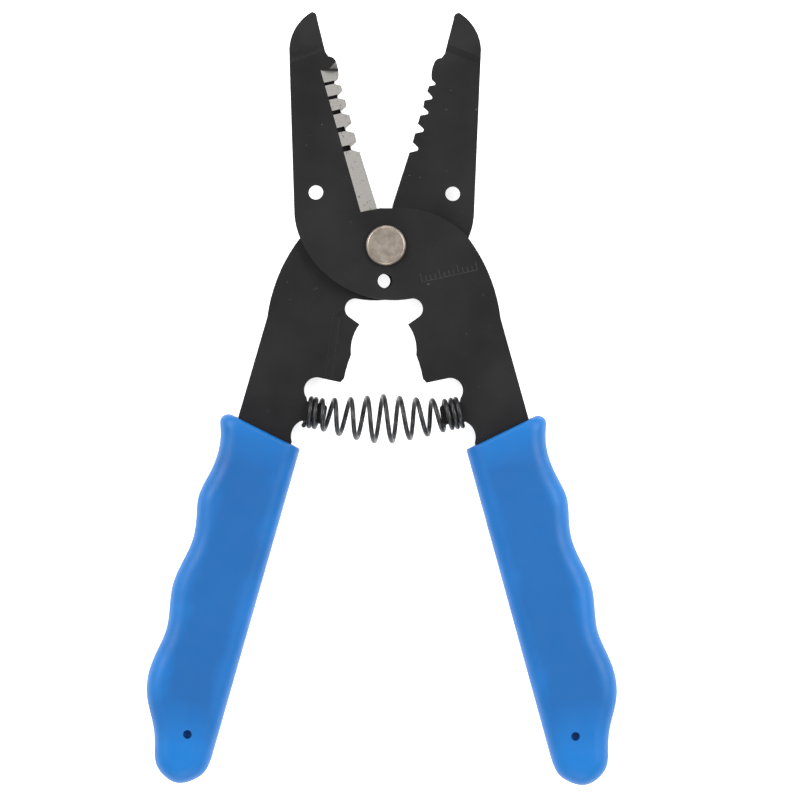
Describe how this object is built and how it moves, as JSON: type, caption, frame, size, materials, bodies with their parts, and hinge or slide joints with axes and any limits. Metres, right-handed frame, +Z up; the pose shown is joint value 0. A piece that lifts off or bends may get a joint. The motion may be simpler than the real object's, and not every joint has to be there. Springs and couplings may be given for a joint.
{
  "type": "wire stripper",
  "caption": "Spring-opened wire stripper: two crossing black steel levers with stripping notches, shear blades and crimping dies, riveted, with blue finger-shaped grips.",
  "frame": {"origin": "middle of the tool's outline, on the plane its two grips rest on", "axes": "+Y along the centre line towards the jaw tips, +X towards the handle of the front lever, +Z up through the front face"},
  "size_m": [0.1024, 0.168, 0.0126],
  "materials": {
    "black_steel": "satin black oxide over carbon steel",
    "rivet_steel": "satin nickel",
    "spring_steel": "oiled black spring wire",
    "blue_grip": "satin moulded plastic"
  },
  "bodies": {
    "rear_half": {"rear_lever": "black_steel", "left_grip": "blue_grip", "pivot_rivet": "rivet_steel", "rivet_washer": "rivet_steel", "return_spring": "spring_steel"},
    "front_half": {"front_lever": "black_steel", "right_grip": "blue_grip"}
  },
  "joints": [
    {"name": "lever_pivot", "type": "hinge", "parent": "rear_half", "child": "front_half", "pos_m": [0, 0.03316, 0.0063], "axis": [0, 0, -1], "range_deg": [0, 33], "stiffness_Nm_per_rad": 1.4, "deforming": ["return_spring"]}
  ]
}
